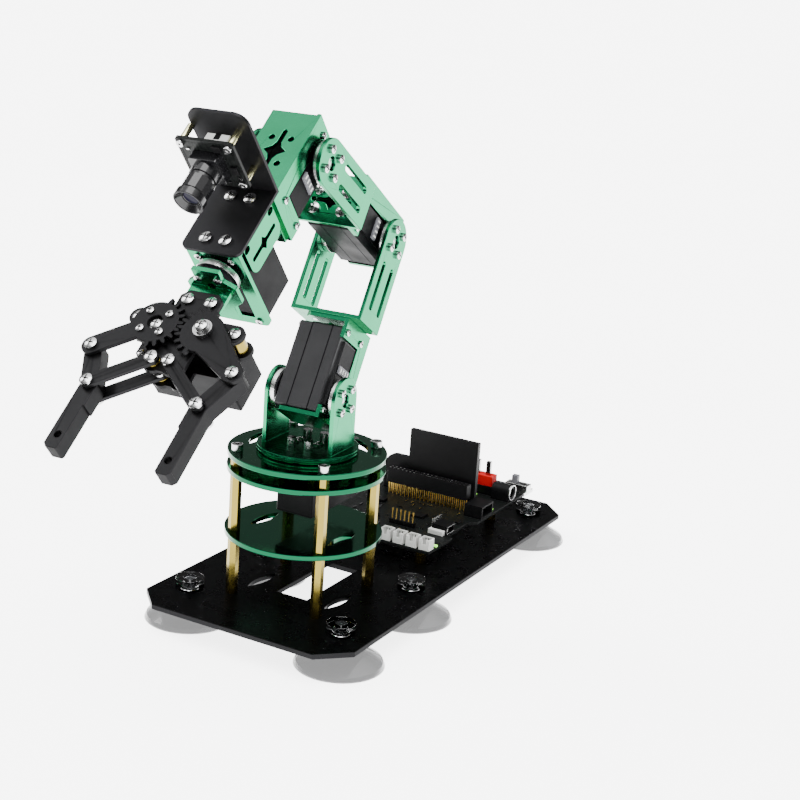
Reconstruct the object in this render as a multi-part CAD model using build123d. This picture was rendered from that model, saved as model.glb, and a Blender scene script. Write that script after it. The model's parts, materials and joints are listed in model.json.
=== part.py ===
from build123d import *
import os
from math import acos, atan2, cos, degrees, hypot, pi, radians, sin, tan

# Desktop robot arm with five turning axes and a geared parallel gripper, in millimetres.
# +X points forward, +Y to the arm's left, +Z up. The origin is on the base turning axis,
# in the plane that the suction cups stand on.

# ---- driving dimensions ------------------------------------------------------------
SHEET = 2.0                 # folded sheet metal
FIT = 0.05                  # radial clearance of a turning fit
CLEAR = 0.1                 # radial clearance of a screw in its hole

PLATE_TOP = 15.3            # top face of the base plate above the table
PLATE_THICK = 2.5
PLATE_FRONT, PLATE_BACK = 60.4, -198.0
PLATE_HALF_WIDTH = 59.5
PLATE_CORNER = 14.0

CUP_ROWS = (32.6, -35.5, -175.5)
CUP_HALF_SPACING = 43.6
CUP_RADIUS = 21.8
KNOB_RADIUS, KNOB_HEIGHT = 7.1, 5.5
STUD_RADIUS = 2.9

DISC_RADIUS, DISC_THICK = 38.8, 2.5
LOWER_DISC, MIDDLE_DISC, TOP_DISC = 32.9, 65.4, 73.1      # top faces above the plate
STANDOFF_PLACE = 24.4
STANDOFF_FLATS = 5.0

YAW_REST = 2.74             # rest angles, degrees
UPPER_ARM_PITCH = -31.25    # from straight up, positive forward
FOREARM_PITCH = 57.3
WRIST_PITCH = 130.0
SHOULDER_HEIGHT = 100.9     # shoulder axis above the plate
LINK = 82.85                # shoulder to elbow, and elbow to wrist

SERVO_HALF_WIDTH = 10.2     # servo body, from its output axis
SERVO_NEAR, SERVO_FAR = -9.8, 33.0
SERVO_BACK, SERVO_FRONT = -12.4, 11.2
SERVO_SCREW_X, SERVO_SCREW_NEAR, SERVO_SCREW_FAR = 8.1, -8.2, 31.2
COVER_FRONT = 12.7
SHAFT_RADIUS = 3.0
HORN_RADIUS = 10.0
HORN_FRONT = 17.2           # where the horns meet the fork's ears
HORN_GAP = 3.6              # servo front to the rim of its horn
EAR_BOLT = 4.75             # half spacing of the four small screws in an ear

FORK_OUTER = 19.2           # half of a fork's outside width
FORK_HALF_DEPTH = 11.3
FORK_REACH = 45.1           # joint axis to the underside of the fork's base
BOLT_X, BOLT_Y = 4.85, 7.35  # half spacings of the four-screw pattern

FLANGE_X = 16.9             # servo bracket: axis to the outside of its long flange
BRACKET_NEAR = -12.6
BRACKET_FAR = LINK - FORK_REACH

ROLL_OFFSET = 4.3           # roll axis above the wrist axis
ROLL_FRONT = 71.4           # front face of the roll bracket, from the wrist axis
CAMERA_TOP = 62.3
CAMERA_SIDE, CAMERA_CENTRE = -3.35, 42.1
CAMERA_HALF_WIDE, CAMERA_HALF_HIGH = 14.0, 12.8

GEAR_X, GEAR_Y = 12.0, 106.2         # gripper gear centres
GEAR_TEETH = 20
BACKLASH = 0.45                      # degrees off each tooth flank
FINGER_ARM = 28.0
ARM_REST = 52.5                      # opening angle of the finger arms at rest
LINK_X, LINK_Y = 4.2, 123.5          # base pivots of the inner links
FINGER_HALF = 3.95
FINGER_TIP = 172.9
ARM_LOW, ARM_HIGH = 3.5, 5.5         # levels above the roll axis
FINGER_LOW, FINGER_HIGH = -4.4, 3.2
LOW_LINK_TOP = -4.7
UPPER_PLATE_TOP = 2.0
LOWER_PLATE_TOP = -8.3
LOBE_X, LOBE_Y = 23.4, 102.6

BOARD_Z = 7.4                        # underside of the control board above the plate
BOARD_THICK = 1.6
BOARD_FRONT, BOARD_BACK, BOARD_HALF = -63.0, -192.0, 38.0
BOARD_TOP = PLATE_TOP + BOARD_Z + BOARD_THICK


# ---- small helpers -----------------------------------------------------------------
def block(x0, x1, y0, y1, z0, z1):
    return Pos((x0 + x1) / 2, (y0 + y1) / 2, (z0 + z1) / 2) * Box(x1 - x0, y1 - y0, z1 - z0)


def rod(radius, z0, z1, x=0.0, y=0.0):
    return Pos(x, y, (z0 + z1) / 2) * Cylinder(radius, z1 - z0)


def rod_y(radius, y0, y1, x=0.0, z=0.0):
    return Pos(x, (y0 + y1) / 2, z) * Rot(90, 0, 0) * Cylinder(radius, y1 - y0)


def rod_x(radius, x0, x1, y=0.0, z=0.0):
    return Pos((x0 + x1) / 2, y, z) * Rot(0, 90, 0) * Cylinder(radius, x1 - x0)


def slab(sketch, z0, z1):
    return Pos(0, 0, z0) * extrude(sketch, z1 - z0)


def bar(x0, y0, x1, y1, width):
    """Flat bar with round ends from one pivot to another."""
    length = hypot(x1 - x0, y1 - y0)
    turn = degrees(atan2(y1 - y0, x1 - x0))
    return Pos((x0 + x1) / 2, (y0 + y1) / 2) * Rot(0, 0, turn) * SlotCenterToCenter(length, width)


def star(long_arm, short_arm):
    """Four-pointed opening with hollow sides and round-ended slots along Y."""
    waist = 0.42 * short_arm
    outline = Polyline(
        (0, 1.3 * short_arm), (waist, waist), (short_arm, 0), (waist, -waist),
        (0, -1.3 * short_arm), (-waist, -waist), (-short_arm, 0), (-waist, waist), close=True)
    slots = Rot(0, 0, 90) * SlotOverall(2 * long_arm, 2.2)
    return make_face(outline) + slots + Circle(0.6 * short_arm)


def screw(length, head=2.8, height=1.8, shank=1.4):
    """Pan-head screw: the head stands on z = 0, the shank points down."""
    dome = Pos(0, 0, height - 2.1 * head) * Sphere(2.1 * head)
    cap = rod(head, 0, height) & dome
    for turn in (0, 90):
        cap -= Pos(0, 0, height) * Rot(0, 0, turn) * Box(1.2 * head, 0.6, height)
    return cap + rod(shank, -length, 0.2)


def countersunk_screw():
    """Small screw whose conical head lies flush in the top disc."""
    top = PLATE_TOP + TOP_DISC
    head = Pos(0, 0, top) * Cone(1.0, 2.0, 1.0, align=(Align.CENTER, Align.CENTER, Align.MAX))
    return head + rod(1.0, BASE_SERVO_TOP - 5.0, top - 0.9)


def hex_post(z0, z1, x, y, flats=STANDOFF_FLATS):
    return Pos(x, y) * slab(RegularPolygon(flats / 3 ** 0.5, 6), z0, z1)


def save(name, *pieces):
    solids = [solid for piece in pieces for solid in piece.solids()]
    export_step(Compound(solids), f"parts/{name}.step")


def corners(x, y):
    return [(sx * x, sy * y) for sx in (1, -1) for sy in (1, -1)]


# ---- base ----------------------------------------------------------------------------
def leaf(length, width):
    """Leaf-shaped opening between two arcs."""
    radius = (length ** 2 / 4 + width ** 2 / 4) / width
    shift = radius - width / 2
    return (Pos(0, shift) * Circle(radius)) & (Pos(0, -shift) * Circle(radius))


def leaves():
    return [Pos(2.5, y) * Rot(0, 0, -5) * leaf(22, 5.4) for y in (-21.2, 23.6)]


def base_plate():
    length = PLATE_FRONT - PLATE_BACK
    sheet = Rectangle(length, 2 * PLATE_HALF_WIDTH)
    sheet = chamfer(sheet.vertices(), PLATE_CORNER)
    sheet = Pos((PLATE_FRONT + PLATE_BACK) / 2, 0) * sheet
    sheet -= Pos(-14, 1.5) * Rectangle(48, 17.5)
    for opening in leaves():
        sheet -= opening
    for x, y in corners(STANDOFF_PLACE, STANDOFF_PLACE):
        sheet -= Pos(x, y) * Circle(1.5)
    for x in CUP_ROWS:
        for y in (CUP_HALF_SPACING, -CUP_HALF_SPACING):
            sheet -= Pos(x, y) * Circle(STUD_RADIUS + CLEAR)
    for x, y in board_post_places():
        sheet -= Pos(x, y) * Circle(1.5)
    return slab(sheet, PLATE_TOP - PLATE_THICK, PLATE_TOP)


def cup_places():
    return [(x, y) for x in CUP_ROWS for y in (CUP_HALF_SPACING, -CUP_HALF_SPACING)]


def suction_cup():
    under = PLATE_TOP - PLATE_THICK
    outline = Polyline(
        (0, 8.6), (8.5, 7.6), (CUP_RADIUS - 1.2, 0), (CUP_RADIUS, 0), (CUP_RADIUS - 1.0, 2.2),
        (9.5, 9.4), (6.6, 10.6), (6.6, under), (STUD_RADIUS, under),
        (STUD_RADIUS, PLATE_TOP + KNOB_HEIGHT - 0.6), (0, PLATE_TOP + KNOB_HEIGHT - 0.6), close=True)
    return revolve(make_face(Plane.XZ * outline), Axis.Z)


def cup_knob():
    knob = rod(KNOB_RADIUS, PLATE_TOP, PLATE_TOP + KNOB_HEIGHT)
    return knob - rod(STUD_RADIUS + CLEAR, PLATE_TOP - 1, PLATE_TOP + KNOB_HEIGHT + 1)


def disc(top, *openings):
    sheet = Circle(DISC_RADIUS)
    for x, y in corners(STANDOFF_PLACE, STANDOFF_PLACE):
        sheet -= Pos(x, y) * Circle(1.5)
    for opening in openings:
        sheet -= opening
    return slab(sheet, PLATE_TOP + top - DISC_THICK, PLATE_TOP + top)


def standoffs():
    """Hexagonal posts between the plate and the discs, each with a threaded stud or hole."""
    pieces = []
    lower_top = PLATE_TOP + LOWER_DISC - DISC_THICK
    upper_low = PLATE_TOP + LOWER_DISC
    upper_top = PLATE_TOP + MIDDLE_DISC - DISC_THICK
    for x, y in corners(STANDOFF_PLACE, STANDOFF_PLACE):
        lower = hex_post(PLATE_TOP, lower_top, x, y) - rod(1.5, PLATE_TOP - 1, PLATE_TOP + 6, x, y)
        lower -= rod(1.5, lower_top - 6, lower_top + 1, x, y)
        upper = hex_post(upper_low, upper_top, x, y) - rod(1.5, upper_top - 8, upper_top + 1, x, y)
        upper += rod(1.4, upper_low - DISC_THICK - 5, upper_low + 0.5, x, y)
        spacer = hex_post(PLATE_TOP + MIDDLE_DISC, PLATE_TOP + TOP_DISC - DISC_THICK, x, y)
        spacer -= rod(1.5, PLATE_TOP + MIDDLE_DISC - 1, PLATE_TOP + TOP_DISC, x, y)
        pieces += [lower, upper, spacer]
    for x, y in board_post_places():
        post = hex_post(PLATE_TOP, PLATE_TOP + BOARD_Z, x, y, 5.0) + rod(1.4, PLATE_TOP + 6, BOARD_TOP, x, y)
        pieces.append(post - rod(1.5, PLATE_TOP - 1, PLATE_TOP + 5, x, y))
    for x, y in base_servo_post_places():
        post = rod(1.9, BASE_SERVO_TOP, PLATE_TOP + TOP_DISC - DISC_THICK, x, y)
        pieces.append(post - rod(1.1, BASE_SERVO_TOP - 1, PLATE_TOP + TOP_DISC, x, y))
    return pieces


def tower_screws():
    pieces = []
    for x, y in corners(STANDOFF_PLACE, STANDOFF_PLACE):
        pieces.append(Pos(x, y, PLATE_TOP + TOP_DISC) * screw(14.0, 2.6, 2.8))
        pieces.append(Pos(x, y, PLATE_TOP - PLATE_THICK) * Rot(180, 0, 0) * screw(6.5))
    for x, y in board_post_places():
        pieces.append(Pos(x, y, PLATE_TOP - PLATE_THICK) * Rot(180, 0, 0) * screw(6.5))
    for x, y in base_servo_post_places():
        pieces.append(Pos(x, y) * countersunk_screw())
    return pieces


# ---- servo motors and what turns on them ----------------------------------------------
# A servo's own frame: Y along its output shaft, Z along its body, X across it.
def servo(rear_pivot=True):
    body = block(-SERVO_HALF_WIDTH, SERVO_HALF_WIDTH, SERVO_BACK, SERVO_FRONT, SERVO_NEAR, SERVO_FAR)
    body = chamfer(body.edges(), 0.6)
    body += block(-6.2, 6.2, SERVO_FRONT - 0.5, COVER_FRONT, -5.0, 27.0)
    body += rod_y(6.2, SERVO_FRONT - 0.5, COVER_FRONT)
    if rear_pivot:
        body += rod_y(2.5, SERVO_BACK - 4.6, SERVO_BACK + 0.5)
    body -= rod_y(SHAFT_RADIUS + FIT, 5.0, COVER_FRONT + 1)
    for x in (SERVO_SCREW_X, -SERVO_SCREW_X):
        for z in (SERVO_SCREW_NEAR, SERVO_SCREW_FAR):
            body -= rod_y(1.2, SERVO_FRONT - 5.5, SERVO_FRONT + 1, x, z)
    return body


def output_shaft(front=HORN_FRONT):
    return rod_y(SHAFT_RADIUS, 5.2, front - 1.6)


def drive_horn(front=HORN_FRONT):
    """Round horn clamped on the output shaft."""
    horn = rod_y(HORN_RADIUS, SERVO_FRONT + HORN_GAP, front) + rod_y(5.5, COVER_FRONT + 0.3, front)
    horn += output_shaft(front)
    horn -= rod_y(1.3, front - 4, front + 1)
    for x, z in EAR_BOLTS:
        horn -= rod_y(1.1, front - 3.2, front + 1, x, z)
    return horn


def idler_horn():
    """Free-running horn on the pivot at the servo's back."""
    horn = rod_y(HORN_RADIUS, -HORN_FRONT, SERVO_BACK - 1.2)
    horn -= rod_y(2.5 + FIT, -HORN_FRONT - 1, SERVO_BACK)
    for x, z in EAR_BOLTS:
        horn -= rod_y(1.1, -HORN_FRONT - 1, -HORN_FRONT + 2.8, x, z)
    return horn


EAR_BOLTS = corners(EAR_BOLT, EAR_BOLT)


def bolt_holes(radius=1.5):
    return [Pos(x, y) * Circle(radius) for x, y in corners(BOLT_X, BOLT_Y)]


# ---- forks and servo brackets ----------------------------------------------------------
# A fork's own frame: the joint axis is Y, and the base is below it.
def fork(reach, round_base=False):
    base_low = -reach
    side = Pos(0, base_low / 2) * Rectangle(2 * FORK_HALF_DEPTH, reach) + Circle(FORK_HALF_DEPTH)
    side -= Circle(3.2)
    for x, z in EAR_BOLTS:
        side -= Pos(x, z) * Circle(1.2)
    if not round_base:
        for x in (5.0, -5.0):
            side -= Pos(x, -25.1) * Rot(0, 0, 90) * SlotOverall(25.2, 3.3)
    upright = Plane.XZ * side
    left = Pos(0, FORK_OUTER, 0) * extrude(upright, SHEET)
    right = Pos(0, -FORK_OUTER + SHEET, 0) * extrude(upright, SHEET)
    floor = Circle(TURNTABLE_RADIUS) if round_base else Rectangle(2 * FORK_HALF_DEPTH, 2 * FORK_OUTER)
    for hole in turntable_holes() if round_base else bolt_holes():
        floor -= hole
    if not round_base:
        floor -= star(10.5, 4.4)
    return left + right + slab(floor, base_low, base_low + (FORK_BASE if round_base else SHEET))


def ear_screws():
    """Small screws through both ears into the horns, standing on washers."""
    pieces = []
    for x, z in EAR_BOLTS:
        small = screw(4.4, 2.0, 1.9, 1.0)
        pieces.append(Pos(x, FORK_OUTER, z) * Rot(-90, 0, 0) * small)
        pieces.append(Pos(x, -FORK_OUTER, z) * Rot(90, 0, 0) * small)
    return pieces


def servo_bracket():
    """Folded bracket: an open plate round the output shaft, a long flange and two end flanges."""
    plate = block(-FLANGE_X, 10.8, SERVO_FRONT, SERVO_FRONT + SHEET, BRACKET_NEAR, BRACKET_FAR)
    plate -= block(-7.2, 12.0, SERVO_FRONT - 1, SERVO_FRONT + SHEET + 1, -6.5, 28.0)
    for x in (SERVO_SCREW_X, -SERVO_SCREW_X):
        for z in (SERVO_SCREW_NEAR, SERVO_SCREW_FAR):
            plate -= rod_y(1.2, SERVO_FRONT - 1, SERVO_FRONT + SHEET + 1, x, z)
    front = SERVO_FRONT + SHEET

    long_flange = Pos(0, 10.5) * Rectangle(24.4, 44.4)
    for hole in bolt_holes():
        long_flange -= Pos(0, 11.5) * hole
    long_flange -= Pos(0, 11.5) * star(12.5, 5.6)
    long_flange = Plane.YZ * (Pos(1.0, 0) * long_flange)
    long_flange = Pos(-FLANGE_X, 0, 0) * extrude(long_flange, SHEET)

    far_end = Pos(-2.2, front - 12.2) * Rectangle(25.4, 24.4)
    far_end = chamfer(far_end.vertices().group_by(Axis.Y)[0], 3.0)
    near_end = far_end
    for hole in bolt_holes():
        far_end -= hole
    far_end -= star(10.5, 4.4)
    far_flange = slab(far_end, BRACKET_FAR - SHEET, BRACKET_FAR)
    near_flange = slab(near_end, BRACKET_NEAR, BRACKET_NEAR + SHEET)
    return plate + long_flange + far_flange + near_flange


def bracket_screws():
    """Four servo screws and the four screws of the far flange into the next part."""
    pieces = []
    for x in (SERVO_SCREW_X, -SERVO_SCREW_X):
        for z in (SERVO_SCREW_NEAR, SERVO_SCREW_FAR):
            pieces.append(Pos(x, SERVO_FRONT + SHEET, z) * Rot(-90, 0, 0) * screw(6.0, 1.7, 1.2, 1.0))
    for x, y in corners(BOLT_X, BOLT_Y):
        pieces.append(Pos(x, y, BRACKET_FAR + SHEET) * screw(2 * SHEET))
    return pieces


# ---- frames ------------------------------------------------------------------------------
TURN = Location((0, 0, 0), (0, 0, YAW_REST))
SHOULDER_Z = PLATE_TOP + SHOULDER_HEIGHT
ELBOW_X = LINK * sin(radians(UPPER_ARM_PITCH))
ELBOW_Z = SHOULDER_Z + LINK * cos(radians(UPPER_ARM_PITCH))
WRIST_X = ELBOW_X + LINK * sin(radians(FOREARM_PITCH))
WRIST_Z = ELBOW_Z + LINK * cos(radians(FOREARM_PITCH))

FORK_FRAME = TURN * Location((0, 0, SHOULDER_Z))
UPPER_ARM = TURN * Location((0, 0, SHOULDER_Z), (0, UPPER_ARM_PITCH, 0))
FOREARM = TURN * Location((ELBOW_X, 0, ELBOW_Z), (0, FOREARM_PITCH, 0))
WRIST = TURN * Location((WRIST_X, 0, WRIST_Z), (0, WRIST_PITCH, 0))
# the roll servo lies along -X of the wrist frame's flange side, its shaft along the wrist's Z
ROLL_SERVO_Z = ROLL_FRONT - SHEET - SERVO_FRONT
ROLL_SERVO = WRIST * Plane((-ROLL_OFFSET, 0, ROLL_SERVO_Z), (0, 1, 0), (1, 0, 0)).location
# gripper frame: origin on the roll axis at the wrist, Y forward along it, Z away from the servo
GRIPPER = WRIST * Plane((-ROLL_OFFSET, 0, 0), (0, -1, 0), (-1, 0, 0)).location

BASE_SERVO_TOP = PLATE_TOP + 65.6
BASE_SERVO = Plane((0, 0, BASE_SERVO_TOP - SERVO_FRONT), (0, -1, 0), (-1, 0, 0)).location


def base_servo_post_places():
    return [(-z, -x) for x in (SERVO_SCREW_X, -SERVO_SCREW_X) for z in (SERVO_SCREW_NEAR, SERVO_SCREW_FAR)]


def board_post_places():
    return [(x, y) for x in (-68.5, -152.0) for y in (30.7, -30.7)]


# ---- turntable ------------------------------------------------------------------------
TURNTABLE_LOW = TOP_DISC + 0.4
TURNTABLE_TOP = TURNTABLE_LOW + 1.0
TURNTABLE_RADIUS = 24.8
FORK_BASE = 1.6
YAW_HORN_RADIUS = 8.0
TURNTABLE_STUDS = corners(8.0, 4.7)
YAW_BOLTS = corners(2.4, 5.6)


def turntable_holes():
    return ([Pos(x, y) * Circle(1.2) for x, y in YAW_BOLTS]
            + [Pos(x, y) * Circle(1.5) for x, y in TURNTABLE_STUDS])


def turntable_disc():
    sheet = Circle(TURNTABLE_RADIUS)
    for hole in turntable_holes():
        sheet -= hole
    return slab(sheet, PLATE_TOP + TURNTABLE_LOW, PLATE_TOP + TURNTABLE_TOP)


def yaw_horn():
    """Horn and shaft of the base servo, under the turntable disc."""
    low, high = BASE_SERVO_TOP + 2.1, PLATE_TOP + TURNTABLE_LOW
    horn = rod(YAW_HORN_RADIUS, low, high) + rod(SHAFT_RADIUS, BASE_SERVO_TOP - 6.0, low + 1)
    for x, y in YAW_BOLTS:
        horn -= rod(1.1, low + 0.5, high + 1, x, y)
    return horn


def shoulder_fork():
    return fork(SHOULDER_HEIGHT - TURNTABLE_TOP, round_base=True)


def turntable_spacers():
    """Four plain studs that clamp the fork's base to the turntable disc."""
    base = PLATE_TOP + TURNTABLE_TOP + FORK_BASE
    return [rod(2.3, base, base + 4.3, x, y) + rod(1.4, base - FORK_BASE - 1.0, base + 1, x, y)
            for x, y in TURNTABLE_STUDS]


def fork_screws():
    top = -(SHOULDER_HEIGHT - TURNTABLE_TOP) + FORK_BASE
    pieces = [Pos(x, y, top) * screw(5.5, 1.9, 1.3, 1.0) for x, y in YAW_BOLTS]
    return pieces + ear_screws()


# ---- wrist: roll bracket and camera ------------------------------------------------------
# These are drawn in the wrist frame, where "up" over the wrist is -X.
def roll_servo_bracket():
    back = BRACKET_FAR
    rear = slab(Pos(-3.5, 0) * Rectangle(26.8, 23.0) - star(10.5, 4.4), back, back + SHEET)
    for x, y in corners(BOLT_X, BOLT_Y):
        rear -= rod(1.5, back - 1, back + SHEET + 1, x, y)
    top = block(-FLANGE_X, -FLANGE_X + SHEET, -13.1, 13.1, back, ROLL_FRONT)
    for y, z in camera_screw_places():
        top -= rod_x(1.5, -FLANGE_X - 1, -FLANGE_X + SHEET + 1, y, z)
    low = 29.5
    front = Pos((low - FLANGE_X) / 2, 0) * Rectangle(low + FLANGE_X, 26.2)
    front = fillet(front.vertices().group_by(Axis.X)[-1], 3.0)
    front -= Pos(6.9, 0) * Rectangle(35.4, 13.6)
    for x in (-ROLL_OFFSET + SERVO_SCREW_NEAR, -ROLL_OFFSET + SERVO_SCREW_FAR):
        for y in (SERVO_SCREW_X, -SERVO_SCREW_X):
            front -= Pos(x, y) * Circle(1.2)
    bracket = rear + top + slab(front, ROLL_FRONT - SHEET, ROLL_FRONT)
    for y in (13.1, -11.1):
        bracket += Pos(0, y, 0) * extrude(Plane.XZ * roll_wing(), SHEET)
    return bracket


def roll_wing():
    """Side wing of the roll bracket, with its star opening and two relief notches."""
    wing = Pos(-7.9, 53.8) * RectangleRounded(18.0, 27.0, 5.0)
    wing += Pos(-14.9, 53.8) * Rectangle(4.0, 27.0)
    for z in (42.6, 65.0):
        wing -= Pos(-13.4, z) * Rot(0, 0, 90) * SlotOverall(4.4, 3.0)
    return wing - Pos(-6.0, 53.8) * star(10.7, 3.6)


def camera_screw_places():
    return [(y, z) for z in (42.0, 66.0) for y in (BOLT_X, -BOLT_X)]


CAMERA_SHEET = 1.5
CAMERA_FRONT = 35.7
CAMERA_PCB = 43.8
LENS_START, LENS_FRONT = 55.0, 67.8


def camera_post_places():
    return [(-CAMERA_CENTRE + dx, CAMERA_SIDE + dy)
            for dx, dy in corners(CAMERA_HALF_HIGH - 2.5, CAMERA_HALF_WIDE - 2.5)]


def camera_bracket():
    low = -FLANGE_X - 0.02
    front = ROLL_FRONT + 1.3
    depth = front - CAMERA_FRONT + CAMERA_SHEET
    flat = Pos(0, front - depth / 2) * Rectangle(29.2, depth)
    flat = fillet(flat.vertices().group_by(Axis.Y)[-1], 3.5)
    for y, z in camera_screw_places():
        flat -= Pos(y, z) * Circle(1.5)
    flat = Pos(low, 0, 0) * extrude(Plane.YZ * flat, -CAMERA_SHEET)
    height = CAMERA_TOP + low
    upright = Pos(low - height / 2, 0) * Rectangle(height, 29.2)
    upright = fillet(upright.vertices().group_by(Axis.X)[0], 6.0)
    for x, y in camera_post_places():
        upright -= Pos(x, y) * Circle(1.2)
    return flat + slab(upright, CAMERA_FRONT - CAMERA_SHEET, CAMERA_FRONT)


def camera_board():
    board = RectangleRounded(2 * CAMERA_HALF_HIGH, 2 * CAMERA_HALF_WIDE, 1.5)
    board = Pos(-CAMERA_CENTRE, CAMERA_SIDE) * board
    for x, y in camera_post_places():
        board -= Pos(x, y) * Circle(1.2)
    return slab(board, CAMERA_PCB, CAMERA_PCB + BOARD_THICK)


def camera_posts():
    pieces = []
    for x, y in camera_post_places():
        pieces.append(rod(1.5, CAMERA_FRONT, CAMERA_PCB, x, y) - rod(0.9, 30, 50, x, y))
        pieces.append(Pos(x, y, CAMERA_PCB + BOARD_THICK) * screw(5.0, 1.5, 1.1, 0.8))
    return pieces


def lens_holder():
    foot = CAMERA_PCB + BOARD_THICK
    holder = slab(RectangleRounded(14.0, 14.0, 1.2), foot, foot + 5.0)
    holder += rod(6.3, foot + 4.5, LENS_START - 0.3)
    holder -= rod(5.0 + FIT, foot + 1.5, LENS_START + 1)
    return Pos(-CAMERA_CENTRE, CAMERA_SIDE) * holder


def camera_lens():
    lens = rod(5.0, CAMERA_PCB + BOARD_THICK + 3.0, LENS_START + 1) + rod(5.8, LENS_START, 64.8)
    lens += slab(RegularPolygon(6.3, 12), LENS_START + 1.5, 63.5) + rod(6.8, 64.5, LENS_FRONT)
    lens -= Pos(0, 0, LENS_FRONT) * Cone(3.6, 6.0, 3.0, align=(Align.CENTER, Align.CENTER, Align.MAX))
    return Pos(-CAMERA_CENTRE, CAMERA_SIDE) * lens


def wrist_screws():
    pieces = bracket_screws()
    for y, z in camera_screw_places():
        pieces.append(Pos(-FLANGE_X - 0.02 - CAMERA_SHEET, y, z) * Rot(0, -90, 0) * screw(3.6))
    for x in (-ROLL_OFFSET + SERVO_SCREW_NEAR, -ROLL_OFFSET + SERVO_SCREW_FAR):
        for y in (SERVO_SCREW_X, -SERVO_SCREW_X):
            pieces.append(Pos(x, y, ROLL_FRONT) * screw(6.0, 1.7, 1.2, 1.0))
    return pieces


# ---- gripper ---------------------------------------------------------------------------
# Drawn in the gripper frame; side is 1 for the arm's left (-X here) and -1 for its right.
MOUNT_LOW, MOUNT_HIGH = 78.0, 80.0
PIVOT = 1.5


def roll_horn():
    """Round horn on the roll servo, in the wrist frame."""
    face = ROLL_SERVO_Z + COVER_FRONT
    horn = rod(HORN_RADIUS, ROLL_FRONT + 1.6, MOUNT_LOW - 2.2) + rod(8.6, MOUNT_LOW - 2.5, MOUNT_LOW)
    horn += rod(5.5, face + 0.3, ROLL_FRONT + 2) + rod(SHAFT_RADIUS, face - 7.5, face + 1)
    for x, y in EAR_BOLTS:
        horn -= rod(1.1, MOUNT_LOW - 3.0, MOUNT_LOW + 1, x, y)
    return Pos(-ROLL_OFFSET, 0) * horn


def gripper_mount():
    """Plate on the roll horn with a tab folded forward under the gripper."""
    outline = Polyline((6.9, 9.9), (6.9, 4.5), (12.0, 0.8), (12.0, -8.0), (6.9, -12.0), (6.9, -21.0),
                       (-6.9, -21.0), (-6.9, -12.0), (-12.0, -8.0), (-12.0, 0.8), (-6.9, 4.5), (-6.9, 9.9),
                       close=True)
    plate = make_face(outline) - Circle(2.0)
    for x, z in EAR_BOLTS:
        plate -= Pos(x, z) * Circle(1.2)
    upright = Plane.XZ * plate
    upright = Pos(0, MOUNT_HIGH, 0) * extrude(upright, MOUNT_HIGH - MOUNT_LOW)
    tab = Pos(0, (MOUNT_LOW + 96.0) / 2) * Rectangle(20.0, 96.0 - MOUNT_LOW)
    tab = fillet(tab.vertices().group_by(Axis.Y)[-1], 3.0)
    for x in (5.7, -5.7):
        tab -= Pos(x, 90.0) * Circle(1.5)
    return upright + slab(tab, UPPER_PLATE_TOP - 2 * SHEET, UPPER_PLATE_TOP - SHEET)


def upper_plate():
    plate = Pos(0, 106.0) * Rectangle(20.5, 42.0)
    plate = chamfer(plate.vertices(), 3.0)
    plate += bar(-LOBE_X, LOBE_Y, LOBE_X, LOBE_Y, 9.0)
    plate += Pos(0, 107.0) * Rectangle(38.0, 14.0)
    for x in (LINK_X, -LINK_X):
        plate += Pos(x, LINK_Y) * Circle(4.4)
        plate -= Pos(x, LINK_Y) * Circle(PIVOT)
    for x in (5.7, -5.7):
        plate -= Pos(x, 90.0) * Circle(1.5)
    for x in (LOBE_X, -LOBE_X):
        plate -= Pos(x, LOBE_Y) * Circle(1.5)
    plate -= Pos(GEAR_X, GEAR_Y) * Circle(4.6)
    plate -= Pos(-GEAR_X, GEAR_Y) * Circle(2.1)
    return slab(plate, UPPER_PLATE_TOP - SHEET, UPPER_PLATE_TOP)


def lower_plate():
    plate = Pos(0, 107.0) * Rectangle(46.0, 23.0)
    plate = chamfer(plate.vertices(), 4.0)
    plate += bar(-LOBE_X, LOBE_Y, LOBE_X, LOBE_Y, 9.0)
    plate += Pos(0, 120.0) * Rectangle(16.0, 14.0)
    for x in (LINK_X, -LINK_X):
        plate += Pos(x, LINK_Y) * Circle(4.4)
        plate -= Pos(x, LINK_Y) * Circle(PIVOT)
    for x in (LOBE_X, -LOBE_X):
        plate -= Pos(x, LOBE_Y) * Circle(1.5)
    plate -= Pos(1.4, GEAR_Y) * Rectangle(34.8, 13.0)
    for x in (GRIP_SCREW_NEAR, GRIP_SCREW_FAR):
        for y in (SERVO_SCREW_X, -SERVO_SCREW_X):
            plate -= Pos(x, GEAR_Y + y) * Circle(1.2)
    return slab(plate, LOWER_PLATE_TOP - SHEET, LOWER_PLATE_TOP)


GRIP_SCREW_NEAR = GEAR_X - SERVO_SCREW_NEAR
GRIP_SCREW_FAR = GEAR_X - SERVO_SCREW_FAR
GRIPPER_SERVO = GRIPPER * Plane(
    (GEAR_X, GEAR_Y, LOWER_PLATE_TOP - SHEET - SERVO_FRONT), (0, -1, 0), (-1, 0, 0)).location


def gripper_spacers():
    """Round spacers between the two plates and under the inner links."""
    pieces = []
    low, high = LOWER_PLATE_TOP, UPPER_PLATE_TOP - SHEET
    for x in (LOBE_X, -LOBE_X):
        pieces.append(rod(3.0, low, high, x, LOBE_Y) - rod(1.5, low - 1, high + 1, x, LOBE_Y))
    for x in (LINK_X, -LINK_X):
        for z0, z1 in ((UPPER_PLATE_TOP, ARM_LOW - 0.1), (low, LOW_LINK_TOP - SHEET - 0.1)):
            pieces.append(rod(3.0, z0, z1, x, LINK_Y) - rod(PIVOT, z0 - 1, z1 + 1, x, LINK_Y))
    return pieces


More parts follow.
